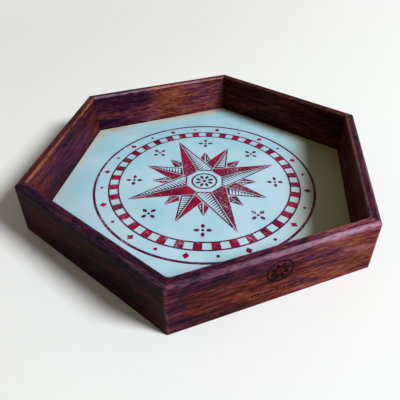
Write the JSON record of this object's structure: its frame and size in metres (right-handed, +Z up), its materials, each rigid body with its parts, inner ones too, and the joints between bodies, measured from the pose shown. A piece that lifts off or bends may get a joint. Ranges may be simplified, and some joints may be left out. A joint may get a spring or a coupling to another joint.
{
  "type": "dice tray",
  "caption": "Open hexagonal dice tray: mitred hardwood rails with a soft rim around a flat printed play surface, on a felt-lined base.",
  "frame": {"origin": "centre of the footprint, on the table", "axes": "+Z up, +X from the left corner to the right corner, the front rail faces -Y"},
  "size_m": [0.2504, 0.2174, 0.0363],
  "materials": {
    "rail_wood": "oiled and waxed rosewood, satin",
    "key_wood": "raw beech",
    "felt": "dense wool felt",
    "plywood": "raw birch plywood",
    "core_board": "dense pale board, cut edge",
    "play_sheet": "printed leatherette, matt, aged edges"
  },
  "bodies": {
    "root": {"rail_front": "rail_wood", "rail_front_right": "rail_wood", "rail_back_right": "rail_wood", "rail_back": "rail_wood", "rail_back_left": "rail_wood", "rail_front_left": "rail_wood", "mitre_key_front_right": "key_wood", "mitre_key_right": "key_wood", "mitre_key_back_right": "key_wood", "mitre_key_back_left": "key_wood", "mitre_key_left": "key_wood", "mitre_key_front_left": "key_wood", "underside_felt": "felt", "base_board": "plywood", "insert_core": "core_board", "play_sheet": "play_sheet"}
  },
  "joints": []
}
